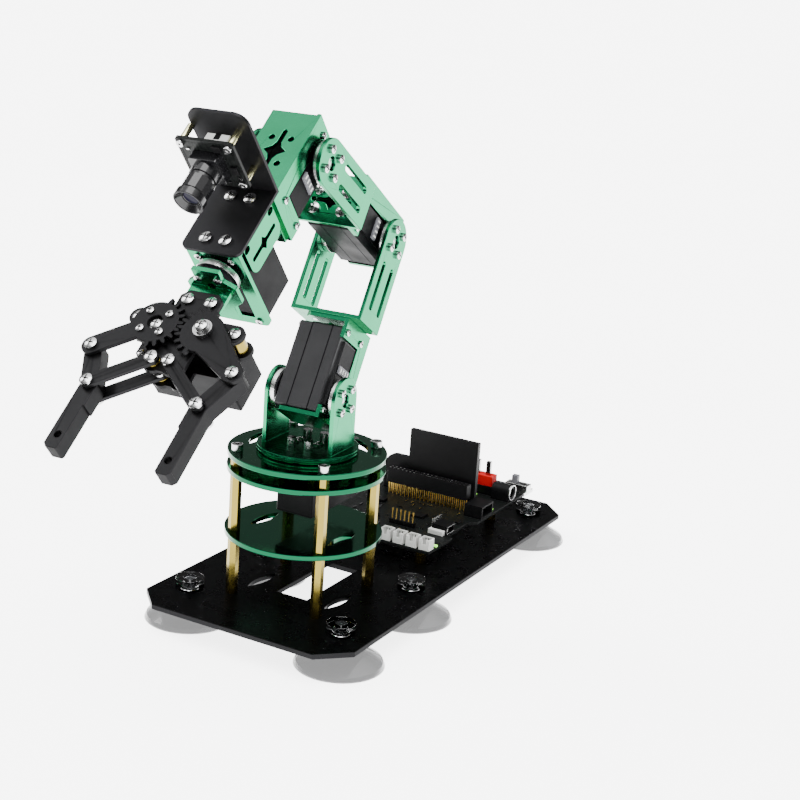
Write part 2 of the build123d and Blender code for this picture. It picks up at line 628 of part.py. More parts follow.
def gripper_screws():
    """Screws that stay with the gripper's base, and the post that the left gear idles on."""
    pieces = [Pos(x, 90.0, UPPER_PLATE_TOP) * screw(3.8) for x in (5.7, -5.7)]
    for x in (LOBE_X, -LOBE_X):
        pieces.append(Pos(x, LOBE_Y, UPPER_PLATE_TOP) * screw(13.0, height=1.3))
    for x in (LINK_X, -LINK_X):
        pieces.append(Pos(x, LINK_Y, ARM_HIGH + 0.1) * screw(7.0, shank=PIVOT - FIT))
        pieces.append(Pos(x, LINK_Y, LOW_LINK_TOP + 0.1) * screw(7.2, shank=PIVOT - FIT))
    for x in (GRIP_SCREW_NEAR, GRIP_SCREW_FAR):
        for y in (SERVO_SCREW_X, -SERVO_SCREW_X):
            pieces.append(Pos(x, GEAR_Y + y, LOWER_PLATE_TOP) * screw(6.0, 1.7, 1.2, 1.0))
    idle = rod(5.0, UPPER_PLATE_TOP, ARM_LOW - 0.1) + rod(3.4, ARM_LOW - 0.2, ARM_HIGH + 0.1)
    idle += rod(4.2, ARM_HIGH + 0.1, ARM_HIGH + 2.2) + rod(3.3, ARM_HIGH + 2, ARM_HIGH + 3.4)
    pieces.append(Pos(-GEAR_X, GEAR_Y) * (idle - rod(2.1, 0, 10)))
    pieces.append(Pos(-GEAR_X, GEAR_Y, ARM_HIGH + 3.4) * screw(10.0, 2.7, 1.6, 2.0))
    for x, z in EAR_BOLTS:
        small = screw(4.4, 2.0, 1.4, 1.0)
        pieces.append(Pos(x, MOUNT_HIGH, z) * Rot(-90, 0, 0) * small)
    return pieces


def drive_hub():
    """Horn of the gripper servo under the right gear, with its shaft and five screws."""
    base = LOWER_PLATE_TOP - SHEET
    hub = rod(SHAFT_RADIUS, base - 6.0, base + 3.0) + rod(4.2, base + 2.2, ARM_LOW - 1)
    hub += rod(8.6, UPPER_PLATE_TOP + 0.2, ARM_LOW) - rod(1.3, ARM_LOW - 3, ARM_LOW + 1)
    for x, y in EAR_BOLTS:
        hub -= rod(1.1, UPPER_PLATE_TOP, ARM_LOW + 1, x, y)
    pieces = [hub, Pos(0, 0, ARM_LOW + 0.2) * screw(2.5, 2.4, 1.4, 1.2)]
    pieces += [Pos(x, y, ARM_HIGH) * screw(3.1, 1.7, 1.3, 1.0) for x, y in EAR_BOLTS]
    return [Pos(GEAR_X, GEAR_Y) * piece for piece in pieces]


def tooth_half_angle(radius):
    """Half thickness of an involute tooth at a radius, as an angle, with backlash taken off."""
    pressure = radians(20)
    local = acos(min(1.0, GEAR_X * cos(pressure) / radius))
    return degrees(pi / (2 * GEAR_TEETH) + tan(pressure) - pressure - tan(local) + local) - BACKLASH


def gear_teeth(first, count, half_turn):
    """Gear teeth round the origin; a tooth or a gap faces +X."""
    module = 2 * GEAR_X / GEAR_TEETH
    root, tip = GEAR_X - 1.25 * module, GEAR_X + 0.92 * module
    radii = [root - 0.5] + [root + 0.8 + k * (tip - root - 0.8) / 5 for k in range(6)]
    teeth = Circle(root)
    for k in range(first, first + count):
        mid = (k + half_turn) * 360 / GEAR_TEETH
        low = [(r, mid - tooth_half_angle(r)) for r in radii]
        high = [(r, mid + tooth_half_angle(r)) for r in reversed(radii)]
        points = [(r * cos(radians(a)), r * sin(radians(a))) for r, a in low + high]
        teeth += make_face(Polyline(*points, close=True))
    return teeth


def gear_arm(side):
    """Toothed sector and finger arm in one sheet; it turns about its gear centre."""
    centre_x = -side * GEAR_X
    px, py = outer_pivot(side)
    facing = 0 if side > 0 else 180
    teeth = gear_teeth(-5, 10, 0 if side > 0 else 0.5)
    if side > 0:
        teeth -= (Circle(20) - Circle(8.6)) & (Pos(-12, 0) * Rectangle(20, 40))
    sheet = Pos(centre_x, GEAR_Y) * Rot(0, 0, facing) * teeth
    if side > 0:
        web = Polyline((0, 8.6), (0, -8.6), (FINGER_ARM, -4.5), (FINGER_ARM, 4.5), close=True)
        sheet += Pos(centre_x, GEAR_Y) * Rot(0, 0, 90 + ARM_REST) * make_face(web)
    sheet += bar(centre_x, GEAR_Y, px, py, 9.0)
    sheet -= Pos(px, py) * Circle(PIVOT + FIT)
    sheet -= Pos(centre_x, GEAR_Y) * Circle(3.4 + FIT)
    if side < 0:
        for x, y in EAR_BOLTS:
            sheet -= Pos(centre_x + x, GEAR_Y + y) * Circle(1.1)
    return slab(sheet, ARM_LOW, ARM_HIGH)


def outer_pivot(side):
    swing = radians(ARM_REST)
    return -side * (GEAR_X + FINGER_ARM * sin(swing)), GEAR_Y + FINGER_ARM * cos(swing)


def inner_pivot(side):
    swing = radians(ARM_REST)
    return -side * (LINK_X + FINGER_ARM * sin(swing)), LINK_Y + FINGER_ARM * cos(swing)


def inner_links(side):
    """Upper and lower link from the gripper's base to one finger."""
    px, py = inner_pivot(side)
    start = -side * LINK_X
    sheet = bar(start, LINK_Y, px, py, 6.0)
    sheet -= Pos(start, LINK_Y) * Circle(PIVOT)
    sheet -= Pos(px, py) * Circle(PIVOT + 0.1)
    return [slab(sheet, ARM_LOW, ARM_HIGH), slab(sheet, LOW_LINK_TOP - SHEET, LOW_LINK_TOP)]


def finger(side):
    ox, oy = outer_pivot(side)
    ix, iy = inner_pivot(side)
    shape = bar(ox, oy, ix, iy, 2 * FINGER_HALF)
    outline = Polyline(
        (ix - FINGER_HALF, iy), (ix + FINGER_HALF, iy), (ix + FINGER_HALF, FINGER_TIP - 1.6),
        (ix + FINGER_HALF - 1.6, FINGER_TIP), (ix - FINGER_HALF + 1.6, FINGER_TIP),
        (ix - FINGER_HALF, FINGER_TIP - 1.6), close=True)
    shape += make_face(outline)
    shape -= Pos(ix + side * FINGER_HALF, 163) * Rectangle(1.6, 24)
    shape -= Pos(ix, 166.3) * Circle(1.6)
    for x, y in ((ox, oy), (ix, iy)):
        shape -= Pos(x, y) * Circle(PIVOT)
    return slab(shape, FINGER_LOW, FINGER_HIGH)


def finger_pivots(side):
    """Shoulder screws that stay with a finger."""
    ox, oy = outer_pivot(side)
    ix, iy = inner_pivot(side)
    shank = PIVOT - FIT
    return [
        Pos(ox, oy, ARM_HIGH + 0.1) * screw(8.5, shank=shank),
        Pos(ix, iy, ARM_HIGH + 0.1) * screw(5.5, shank=shank),
        Pos(ix, iy, LOW_LINK_TOP - SHEET - 0.1) * Rot(180, 0, 0) * screw(5.5, shank=shank)]


# ---- control board -----------------------------------------------------------------------
HEADER_X = -132.0
PRONG_Y = (13.0, 20.0)
PORT_Y = (34.6, 26.8, 19.0, 11.2)
SWITCH_X, SWITCH_Y = -181.0, 33.5


def control_board():
    outline = Polyline(
        (BOARD_FRONT, BOARD_HALF), (-90, BOARD_HALF), (-94, BOARD_HALF - 4), (-116, BOARD_HALF - 4),
        (-120, BOARD_HALF), (BOARD_BACK, BOARD_HALF), (BOARD_BACK, -BOARD_HALF), (BOARD_FRONT, -BOARD_HALF),
        close=True)
    sheet = make_face(outline)
    for x, y in board_post_places():
        sheet -= Pos(x, y) * Circle(1.5)
    return slab(sheet, BOARD_TOP - BOARD_THICK, BOARD_TOP)


def pin_header():
    body = block(HEADER_X - 2.5, HEADER_X + 2.5, -25.4, 25.4, BOARD_TOP + 6.9, BOARD_TOP + 15.4)
    return body - header_sockets()


def header_sockets():
    cuts = [block(x - 0.4, x + 0.4, y - 0.4, y + 0.4, BOARD_TOP + 13.4, BOARD_TOP + 16)
            for x, y in header_places()]
    return Compound([solid for cut in cuts for solid in cut.solids()])


def header_places():
    return [(HEADER_X + row * 1.27, -24.13 + 2.54 * k) for k in range(20) for row in (-1, 1)]


def header_pins():
    return [block(x - 0.32, x + 0.32, y - 0.32, y + 0.32, BOARD_TOP, BOARD_TOP + 6.9)
            for x, y in header_places()]


def upright_board():
    face = Pos(4.5, 19.0) * Rectangle(43.0, 38.0)
    shoulder = Pos(-24.5, 10.5) * Rectangle(15.0, 21.0)
    face += fillet(shoulder.vertices().group_by(Axis.X)[0].sort_by(Axis.Y)[-1], 7.0)
    return Pos(-138.4, 0, BOARD_TOP) * extrude(Plane.YZ * face, -3.0)


def servo_port(y):
    port = block(BOARD_FRONT - 6.5, BOARD_FRONT - 0.8, y - 3.1, y + 3.1, BOARD_TOP, BOARD_TOP + 6.2)
    port -= block(BOARD_FRONT - 5.8, BOARD_FRONT - 1.5, y - 2.4, y + 2.4, BOARD_TOP + 1.2, BOARD_TOP + 7)
    return port - block(BOARD_FRONT - 2.0, BOARD_FRONT, y - 0.9, y + 0.9, BOARD_TOP + 3.4, BOARD_TOP + 7)


def power_plug():
    plug = block(-171.5, -164.5, 9.0, 24.0, BOARD_TOP, BOARD_TOP + 11.0)
    for y in PRONG_Y:
        plug -= block(-169.0, -167.0, y - 1.5, y + 1.5, BOARD_TOP + 4, BOARD_TOP + 13)
    return plug


def power_prongs():
    return [block(-168.9, -167.1, y - 1.4, y + 1.4, BOARD_TOP + 4, BOARD_TOP + 19.0) for y in PRONG_Y]


def switch_body():
    body = block(SWITCH_X - 3, SWITCH_X + 3, SWITCH_Y - 7, SWITCH_Y + 7, BOARD_TOP, BOARD_TOP + 5.5)
    y0, y1 = SWITCH_Y - 5, SWITCH_Y + 5
    return body - block(SWITCH_X - 1.9, SWITCH_X + 1.9, y0, y1, BOARD_TOP + 2, BOARD_TOP + 6)


def switch_knob():
    y = SWITCH_Y - 1.9
    knob = block(SWITCH_X - 1.6, SWITCH_X + 1.6, y - 2.6, y + 2.6, BOARD_TOP + 2.3, BOARD_TOP + 5.0)
    return knob + block(SWITCH_X - 1.6, SWITCH_X + 1.6, y - 1.8, y + 1.8, BOARD_TOP + 4.5, BOARD_TOP + 10.0)


def board_sockets():
    """Data socket, power jack and two small plug sockets on the board's left edge."""
    data = block(-139.0, -125.0, 26.8, 37.8, BOARD_TOP, BOARD_TOP + 7.0)
    data -= block(-137.8, -126.2, 28.5, 39.0, BOARD_TOP + 1.0, BOARD_TOP + 6.0)
    jack = block(-169.5, -160.5, 26.0, 37.0, BOARD_TOP, BOARD_TOP + 4.5)
    jack += rod_y(4.5, 26.0, 37.0, -165.0, BOARD_TOP + 4.5)
    jack -= rod_y(2.9, 29.0, 39.0, -165.0, BOARD_TOP + 4.5)
    micro = block(-100.0, -90.5, 25.0, 33.8, BOARD_TOP, BOARD_TOP + 5.0)
    micro -= block(-99.0, -91.5, 27.0, 35.0, BOARD_TOP + 1.0, BOARD_TOP + 4.0)
    return [data, jack, micro]


# ---- write every piece ---------------------------------------------------------------------
def in_frame(frame, pieces):
    return [frame * piece for piece in pieces]


def write_base():
    save("base_plate", base_plate())
    save("suction_cups", *[Pos(x, y) * suction_cup() for x, y in cup_places()])
    save("cup_knobs", *[Pos(x, y) * cup_knob() for x, y in cup_places()])
    save("lower_disc", disc(LOWER_DISC, *leaves()))
    servo_window = Pos((-SERVO_NEAR - SERVO_FAR) / 2, 0) * Rectangle(SERVO_FAR - SERVO_NEAR + 1, 21.4)
    save("middle_disc", disc(MIDDLE_DISC, servo_window))
    servo_holes = [Pos(x, y) * Circle(1.1) for x, y in base_servo_post_places()]
    side_slots = [Pos(x, y) * Rot(0, 0, turn) * leaf(20, 5) for x, y, turn in
                  ((1.5, -29.0, 15), (-22.3, 17.3, 45))]
    top = disc(TOP_DISC, Circle(YAW_HORN_RADIUS + 0.6), *side_slots, *servo_holes)
    for x, y in base_servo_post_places():
        sink = Cone(1.05, 2.15, 1.1, align=(Align.CENTER, Align.CENTER, Align.MAX))
        top -= Pos(x, y, PLATE_TOP + TOP_DISC) * sink
    save("top_disc", top)
    save("brass_standoffs", *standoffs())
    save("tower_screws", *tower_screws())
    save("base_servo", BASE_SERVO * servo(rear_pivot=False))


def write_board():
    save("control_board", control_board())
    save("pin_header", pin_header())
    save("header_pins", *header_pins())
    save("upright_board", upright_board())
    save("servo_ports", *[servo_port(y) for y in PORT_Y])
    save("power_plug", power_plug())
    save("power_prongs", *power_prongs())
    save("switch_body", switch_body())
    save("switch_knob", switch_knob())
    save("board_sockets", *board_sockets())


def write_turntable():
    save("yaw_horn", TURN * yaw_horn())
    save("turntable_disc", TURN * turntable_disc())
    save("shoulder_fork", FORK_FRAME * shoulder_fork())
    save("shoulder_horns", *in_frame(FORK_FRAME, [drive_horn(), idler_horn()]))
    save("shoulder_fork_screws", *in_frame(FORK_FRAME, fork_screws()), *in_frame(TURN, turntable_spacers()))


def write_arm():
    link_end = Pos(0, 0, LINK)
    for frame, first, link, second in (
            (UPPER_ARM, "shoulder", "upper_arm", "elbow"), (FOREARM, "elbow", "forearm", "wrist")):
        save(f"{first}_servo", frame * servo())
        save(f"{first}_servo_bracket", frame * servo_bracket())
        save(f"{link}_link", frame * link_end * fork(FORK_REACH))
        save(f"{second}_horns", *in_frame(frame * link_end, [drive_horn(), idler_horn()]))
        save(f"{link}_screws", *in_frame(frame, bracket_screws()), *in_frame(frame * link_end, ear_screws()))


def write_wrist():
    save("wrist_servo", WRIST * servo())
    save("wrist_servo_bracket", WRIST * servo_bracket())
    save("roll_servo", ROLL_SERVO * servo(rear_pivot=False))
    save("roll_servo_bracket", WRIST * roll_servo_bracket())
    save("camera_bracket", WRIST * camera_bracket())
    save("camera_board", WRIST * camera_board())
    save("camera_spacers", *in_frame(WRIST, camera_posts()))
    save("lens_holder", WRIST * lens_holder())
    save("camera_lens", WRIST * camera_lens())
    save("wrist_screws", *in_frame(WRIST, wrist_screws()))


def write_gripper():
    save("roll_horn", WRIST * roll_horn())
    save("gripper_mount", GRIPPER * gripper_mount())
    save("gripper_upper_plate", GRIPPER * upper_plate())
    save("gripper_lower_plate", GRIPPER * lower_plate())
    save("gripper_spacers", *in_frame(GRIPPER, gripper_spacers()))
    save("gripper_servo", GRIPPER_SERVO * servo(rear_pivot=False))
    save("gripper_screws", *in_frame(GRIPPER, gripper_screws()))
    save("drive_hub", *in_frame(GRIPPER, drive_hub()))
    for side, name in ((1, "left"), (-1, "right")):
        save(f"{name}_gear_arm", GRIPPER * gear_arm(side))
        save(f"{name}_inner_links", *in_frame(GRIPPER, inner_links(side)))
        save(f"{name}_finger", GRIPPER * finger(side))
        save(f"{name}_finger_pivots", *in_frame(GRIPPER, finger_pivots(side)))


def print_joints():
    """Joint points and axes in metres, for the record."""
    def show(name, frame, point, axis):
        place = (frame * Location(point)).position
        aim = (frame * Location(axis)).position - frame.position
        print(name, [round(v / 1000, 6) for v in place], [round(v, 6) for v in aim])
    show("shoulder", UPPER_ARM, (0, 0, 0), (0, 1, 0))
    show("elbow", FOREARM, (0, 0, 0), (0, 1, 0))
    show("wrist_pitch", WRIST, (0, 0, 0), (0, 1, 0))
    show("wrist_roll", WRIST, (-ROLL_OFFSET, 0, 0), (0, 0, 1))
    show("lens_focus", WRIST, (-CAMERA_CENTRE, CAMERA_SIDE, LENS_START), (0, 0, 1))
    show("switch", Location((0, 0, 0)), (SWITCH_X, SWITCH_Y, BOARD_TOP), (0, 1, 0))
    for side, name in ((1, "left"), (-1, "right")):
        show(f"{name}_gear", GRIPPER, (-side * GEAR_X, GEAR_Y, ARM_LOW), (0, 0, 1))
        show(f"{name}_link", GRIPPER, (-side * LINK_X, LINK_Y, ARM_LOW), (0, 0, 1))
        show(f"{name}_finger", GRIPPER, (*outer_pivot(side), ARM_LOW), (0, 0, 1))
        show(f"{name}_tip_hole", GRIPPER, (inner_pivot(side)[0], 166.3, FINGER_HIGH), (0, 0, 1))
    show("star_flange", WRIST, (-FLANGE_X, 1.0, 11.5), (-1, 0, 0))


os.makedirs("parts", exist_ok=True)
write_base()
write_board()
write_turntable()
write_arm()
write_wrist()
write_gripper()
print_joints()
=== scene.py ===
import json
import random
from math import cos, pi, radians, sin

import bmesh
import bpy
from mathutils import Matrix, Vector


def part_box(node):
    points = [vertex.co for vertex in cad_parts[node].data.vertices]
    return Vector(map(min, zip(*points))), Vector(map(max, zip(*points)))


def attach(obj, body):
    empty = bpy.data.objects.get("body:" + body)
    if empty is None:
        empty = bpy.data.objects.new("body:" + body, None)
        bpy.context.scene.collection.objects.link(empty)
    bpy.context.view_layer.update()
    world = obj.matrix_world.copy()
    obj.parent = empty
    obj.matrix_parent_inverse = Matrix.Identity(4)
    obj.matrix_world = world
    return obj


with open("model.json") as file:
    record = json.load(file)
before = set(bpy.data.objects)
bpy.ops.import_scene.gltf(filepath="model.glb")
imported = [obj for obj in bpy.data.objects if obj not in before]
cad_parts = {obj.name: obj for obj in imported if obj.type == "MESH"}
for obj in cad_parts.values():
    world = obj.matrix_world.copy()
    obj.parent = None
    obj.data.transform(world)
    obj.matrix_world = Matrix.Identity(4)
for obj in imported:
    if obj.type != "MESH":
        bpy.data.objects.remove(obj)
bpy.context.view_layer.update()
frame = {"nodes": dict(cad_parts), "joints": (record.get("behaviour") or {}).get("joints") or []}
nodes = frame["nodes"]
joints = {j["name"]: j for j in frame["joints"]}
random.seed(7)
MM = 0.001                              # lengths below are in millimetres until scaled by this


# ---- frames of the moving parts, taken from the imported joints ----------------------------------
def joint_point(name):
    return Vector(joints[name]["pos_m"])


def joint_axis(name):
    return Vector(joints[name]["axis"]).normalized()


def make_frame(origin, x, y, z):
    """Maps local millimetres to the row frame's metres."""
    m = Matrix((x, y, z)).transposed().to_4x4()
    for row in range(3):
        for col in range(3):
            m[row][col] *= MM
    m.translation = origin
    return m


def along(origin, y, z):
    """Frame at origin with Z along z and Y as near to y as it can be."""
    z = z.normalized()
    y = (y - z * y.dot(z)).normalized()
    return make_frame(origin, y.cross(z), y, z)


SHOULDER, ELBOW, WRIST_AT = (
    joint_point(n) for n in ("shoulder_pitch", "elbow_pitch", "wrist_pitch"))
PITCH_AXIS, ROLL_AXIS = joint_axis("shoulder_pitch"), joint_axis("wrist_roll")
UP = Vector((0, 0, 1))
WORLD = make_frame(Vector((0, 0, 0)), Vector((1, 0, 0)), Vector((0, 1, 0)), UP)
FORK = along(SHOULDER, PITCH_AXIS, UP)
UPPER_ARM = along(SHOULDER, PITCH_AXIS, ELBOW - SHOULDER)
FOREARM = along(ELBOW, PITCH_AXIS, WRIST_AT - ELBOW)
WRIST = along(WRIST_AT, PITCH_AXIS, ROLL_AXIS)
LINK = (ELBOW - SHOULDER).length / MM
ROLL_OFFSET = (joint_point("wrist_roll") - WRIST_AT).length / MM
BOARD_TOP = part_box("control_board")[1].z / MM


# ---- node materials ----------------------------------------------------------------------------
NOISE_LOW, NOISE_HIGH = 0.3, 0.7        # most of a noise texture's values lie between these
MIX_A, MIX_B, MIX_RESULT = 6, 7, 2      # the Mix node's colour sockets, by number


class Shader:
    """A Principled material with small helpers for its procedural inputs."""

    def __init__(self, name, **values):
        self.mat = bpy.data.materials.new(name)
        self.mat.use_nodes = True
        self.tree = self.mat.node_tree
        self.bsdf = self.tree.nodes["Principled BSDF"]
        self.place = self.node("ShaderNodeTexCoord").outputs["Object"]
        for key, value in values.items():
            self.set(key.replace("_", " "), value)

    def set(self, name, value):
        self.bsdf.inputs[name].default_value = value

    def node(self, kind, **props):
        n = self.tree.nodes.new(kind)
        for key, value in props.items():
            setattr(n, key, value)
        return n

    def link(self, a, b):
        self.tree.links.new(a, b)

    def noise(self, scale, detail):
        n = self.node("ShaderNodeTexNoise")
        n.inputs["Scale"].default_value = scale
        n.inputs["Detail"].default_value = detail
        n.inputs["Roughness"].default_value = 0.55
        self.link(self.place, n.inputs["Vector"])
        return n.outputs["Fac"]

    def ramp(self, fac, stops):
        """Colour between two stops, each (position, colour)."""
        r = self.node("ShaderNodeValToRGB")
        for e, (at, colour) in zip(r.color_ramp.elements, stops):
            e.position = at
            e.color = (*colour, 1)
        self.link(fac, r.inputs["Fac"])
        return r.outputs["Color"]

    def drift(self, fac, dark, light):
        """Colour that goes from dark to light as a noise rises."""
        return self.ramp(fac, [(NOISE_LOW, dark), (NOISE_HIGH, light)])

    def range(self, fac, low, high):
        """Number that goes from low to high as a noise rises."""
        m = self.node("ShaderNodeMapRange")
        m.inputs["From Min"].default_value = NOISE_LOW
        m.inputs["From Max"].default_value = NOISE_HIGH
        m.inputs["To Min"].default_value, m.inputs["To Max"].default_value = low, high
        self.link(fac, m.inputs["Value"])
        return m.outputs["Result"]

    def mix(self, fac, a, b):
        m = self.node("ShaderNodeMix", data_type="RGBA")
        self.link(fac, m.inputs["Factor"])
        for socket, value in ((m.inputs[MIX_A], a), (m.inputs[MIX_B], b)):
            if isinstance(value, tuple):
                socket.default_value = (*value, 1)
            else:
                self.link(value, socket)
        return m.outputs[MIX_RESULT]

    def painted_recess_shade(self, reach):
        """Mask for painted shade: 0 in narrow recesses such as a screw's cross, 1 on open faces."""
        ao = self.node("ShaderNodeAmbientOcclusion", samples=6)
        ao.inputs["Distance"].default_value = reach * MM
        m = self.node("ShaderNodeMapRange")
        m.inputs["From Min"].default_value, m.inputs["From Max"].default_value = 0.35, 0.75
        self.link(ao.outputs["AO"], m.inputs["Value"])
        return m.outputs["Result"]

    def colour(self, source):
        self.link(source, self.bsdf.inputs["Base Color"])

    def rough(self, source):
        self.link(source, self.bsdf.inputs["Roughness"])

    def clouds(self, scale, detail, colour, vary):
        """Colour that drifts a little lighter and darker."""
        noise = self.noise(scale, detail)
        return self.drift(noise, shade(colour, 1 - vary), shade(colour, 1 + vary))

    def flatness(self):
        """1 on level faces, 0 on upright ones; the mask for painted shade on upright faces."""
        split = self.node("ShaderNodeSeparateXYZ")
        self.link(self.node("ShaderNodeNewGeometry").outputs["Normal"], split.inputs["Vector"])
        size = self.node("ShaderNodeMath", operation="ABSOLUTE")
        self.link(split.outputs["Z"], size.inputs[0])
        return size.outputs[0]

    def bump(self, height, strength, distance):
        b = self.node("ShaderNodeBump")
        b.inputs["Strength"].default_value = strength
        b.inputs["Distance"].default_value = distance
        self.link(height, b.inputs["Height"])
        self.link(b.outputs["Normal"], self.bsdf.inputs["Normal"])


def shade(c, k):
    """Colour c made k times as bright."""
    return tuple(min(1.0, v * k) for v in c)


def metal(name, colour, low, high, metallic=1.0, bump=0.05, tint=1.0, recess_shade_reach=0.0, edge=0.0):
    """Sheet or machined metal: fine grain, faint cloudy patches and uneven gloss.

    tint dims the glancing reflection, the recess shade reach is how far in mm painted shade
    spreads into recesses, and edge is how much of the colour's strength upright faces keep: painted
    shade that darkens them."""
    s = Shader(name, Metallic=metallic)
    s.set("Specular Tint", (tint, tint, tint, 1))
    face = s.clouds(38, 4, colour, 0.06)
    if edge:
        # painted shade: upright faces darker than level ones
        face = s.mix(s.flatness(), shade(colour, edge), face)
    if recess_shade_reach:
        # painted shade: recesses darkened towards 0.02 of the colour
        face = s.mix(s.painted_recess_shade(recess_shade_reach), shade(colour, 0.02), face)
    s.colour(face)
    s.rough(s.range(s.noise(120, 5), low, high))
    s.bump(s.noise(900, 3), bump, 0.0001)
    return s.mat


def plastic(name, colour, low, high, grain=2200, bump=0.12, vary=0.1, spec=0.12):
    """Moulded plastic with spark-eroded grain and slight handling shine."""
    s = Shader(name)
    s.set("Specular IOR Level", spec)
    s.colour(s.clouds(60, 4, colour, vary))
    s.rough(s.range(s.noise(90, 5), low, high))
    s.bump(s.noise(grain, 2), bump, 0.00015)
    return s.mat


def board_material(name, colour):
    """Solder mask over fine copper tracks."""
    s = Shader(name)
    s.set("Specular IOR Level", 0.06)
    brick = s.node("ShaderNodeTexBrick")
    brick.inputs["Scale"].default_value = 150
    brick.inputs["Mortar Size"].default_value = 0.06
    brick.inputs["Color1"].default_value = (0, 0, 0, 1)
    brick.inputs["Color2"].default_value = (0.15, 0.15, 0.15, 1)
    brick.inputs["Mortar"].default_value = (1, 1, 1, 1)
    s.link(s.place, brick.inputs["Vector"])
    tracks = brick.outputs["Color"]
    s.colour(s.mix(tracks, colour, shade(colour, 1.9)))
    s.rough(s.range(s.noise(200, 3), 0.26, 0.4))
    s.bump(tracks, 0.25, 0.00008)
    return s.mat


def painted_panel_light(name, colour, alpha):
    """Soft milky plastic whose moulded cone gets painted light and shade: broad lighter and darker
    panels.
    """
    s = Shader(name, Alpha=alpha, Roughness=0.15)
    s.set("Specular IOR Level", 0.5)
    cells = s.node("ShaderNodeTexVoronoi")
    cells.inputs["Scale"].default_value = 42
    s.link(s.place, cells.inputs["Vector"])
    grey = s.node("ShaderNodeRGBToBW")
    s.link(cells.outputs["Color"], grey.inputs["Color"])
    # painted light and shade: panels from 0.55 to 2.2 times the colour
    s.colour(s.drift(grey.outputs["Val"], shade(colour, 0.55), shade(colour, 2.2)))
    s.bump(s.noise(300, 2), 0.05, 0.0002)
    return s.mat


def glassy(name, colour):
    """Clear hard plastic that bends what lies behind it."""
    s = Shader(name, IOR=1.35)
    s.set("Transmission Weight", 1.0)
    s.colour(s.drift(s.noise(40, 2), shade(colour, 0.92), colour))
    s.rough(s.range(s.noise(150, 3), 0.01, 0.05))
    return s.mat


def lens_glass(name):
    """Dark coated glass."""
    s = Shader(name, Roughness=0.03)
    s.set("Specular IOR Level", 0.03)
    s.colour(s.ramp(s.noise(80, 2), [(0.35, (0.004, 0.005, 0.01)), (0.7, (0.012, 0.008, 0.02))]))
    return s.mat


def lamp(name, colour, strength):
    """Small lit lens."""
    s = Shader(name, Roughness=0.3)
    s.colour(s.drift(s.noise(2500, 1), shade(colour, 0.8), colour))
    s.set("Emission Color", (*colour, 1))
    s.set("Emission Strength", strength)
    return s.mat


GREEN = metal("green_anodised", (0.016, 0.200, 0.090), 0.16, 0.27, bump=0.04, tint=0.7)
# The discs' upright faces get painted shade, keeping 0.3 of the colour's strength.
DISC_GREEN = metal("green_disc", (0.016, 0.190, 0.088), 0.07, 0.13, bump=0.02, tint=0.9, edge=0.3)
BLACK_PLATE = metal("black_plate", (0.007, 0.007, 0.0075), 0.24, 0.34,
                    metallic=0.9, bump=0.015, tint=0.5)
CAMERA_PLATE = metal("camera_plate", (0.010, 0.010, 0.011), 0.36, 0.46,
                     metallic=0.8, tint=0.5)
DARK_PLATE = metal("dark_plate", (0.0085, 0.0085, 0.009), 0.28, 0.42,
                   metallic=0.8, bump=0.08, tint=0.3)
CASE = plastic("servo_case", (0.0042, 0.0042, 0.0046), 0.34, 0.5, spec=0.025)
# Painted light: a lighter, glossier copy of the servo case, for the shoulder servo whose front
# reflects the key light.
CASE_PAINTED_LIT = plastic("servo_case_painted_lit", (0.014, 0.014, 0.015), 0.34, 0.5, spec=0.15)
CASE_TOP = plastic("servo_case_top", (0.002, 0.002, 0.0025), 0.3, 0.4, spec=0.02)
HORN = plastic("horn_black", (0.006, 0.006, 0.007), 0.25, 0.36)
WHITE_METAL = metal("silver_rim", (0.55, 0.55, 0.54), 0.2, 0.34, bump=0.04)
# Steel gets painted shade in recesses within 1.1 mm.
STEEL = metal("steel", (0.46, 0.46, 0.46), 0.12, 0.24, bump=0.03, recess_shade_reach=1.1)
BRASS = metal("brass", (0.19, 0.145, 0.028), 0.14, 0.26, bump=0.04)
GOLD = metal("gold_pin", (0.85, 0.58, 0.16), 0.25, 0.4)
PALE_GOLD = metal("pale_gold", (0.62, 0.60, 0.34), 0.16, 0.26)
BOARD = board_material("circuit_board", (0.0022, 0.0026, 0.0024))
BLACK = plastic("black_plastic", (0.0028, 0.0028, 0.003), 0.3, 0.44, spec=0.06)
LENS_BLACK = plastic("lens_black", (0.004, 0.004, 0.0045), 0.1, 0.18,
                     grain=600, bump=0.03, spec=0.35)
WHITE = plastic("white_plastic", (0.50, 0.50, 0.48), 0.3, 0.42, vary=0.03, spec=0.4)
RED = plastic("red_plastic", (0.36, 0.004, 0.004), 0.3, 0.42)
GREY = plastic("grey_plastic", (0.10, 0.10, 0.11), 0.35, 0.5)
# The cups carry painted light and shade in broad panels.
CUP = painted_panel_light("suction_cup", (0.030, 0.031, 0.033), 0.72)
KNOB = glassy("clear_knob", (0.93, 0.94, 0.95))
LED = lamp("led", (0.35, 0.95, 0.12), 1.2)
GLASS = lens_glass("lens_glass")

